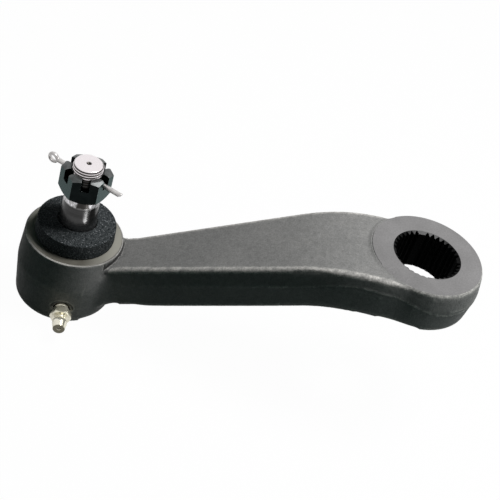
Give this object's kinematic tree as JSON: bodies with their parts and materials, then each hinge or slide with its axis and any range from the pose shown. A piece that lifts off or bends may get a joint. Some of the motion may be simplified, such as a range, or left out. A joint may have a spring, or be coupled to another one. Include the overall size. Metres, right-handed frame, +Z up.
{
  "type": "pitman arm",
  "caption": "Dropped forged steering arm with a splined boss at one end and a greased ball stud with castle nut at the other.",
  "frame": {"origin": "centre of the splined bore at the boss's machined top face", "axes": "+Z up along the bore's axis, +X from the ball stud towards the bore"},
  "size_m": [0.2101, 0.0649, 0.0818],
  "materials": {
    "forging": "matte dark phosphate on forged steel",
    "stud_steel": "ground",
    "nut": "black oxide, oiled",
    "pin_steel": "drawn wire",
    "foam": "open-cell foam",
    "bearing": "sintered",
    "spring_steel": "hardened",
    "cover": "pressed sheet",
    "fitting": "yellow zinc plate"
  },
  "bodies": {
    "arm": {"arm_forging": "forging", "upper_bearing": "bearing", "lower_bearing": "bearing", "preload_spring": "spring_steel", "cover_plate": "cover", "grease_fitting": "fitting", "check_spring": "spring_steel"},
    "swivel": {"dust_seal": "foam"},
    "stud": {"ball_stud": "stud_steel", "castle_nut": "nut", "cotter_pin": "pin_steel"},
    "check": {"check_ball": "spring_steel"}
  },
  "joints": [
    {"name": "stud_swivel", "type": "hinge", "parent": "arm", "child": "swivel", "pos_m": [-0.1575, 0, -0.0603], "axis": [0, 0, 1], "continuous": true},
    {"name": "stud_tilt", "type": "hinge", "parent": "swivel", "child": "stud", "pos_m": [-0.1575, 0, -0.0603], "axis": [0, 1, 0], "range_deg": [-18, 18], "deforming": ["dust_seal"]},
    {"name": "check_ball_slide", "type": "slide", "parent": "arm", "child": "check", "axis": [-0.1564, 0.9877, 0], "range_m": [0, 0.0008], "stiffness_N_per_m": 100, "springref_m": -0.002, "deforming": ["check_spring"]}
  ]
}
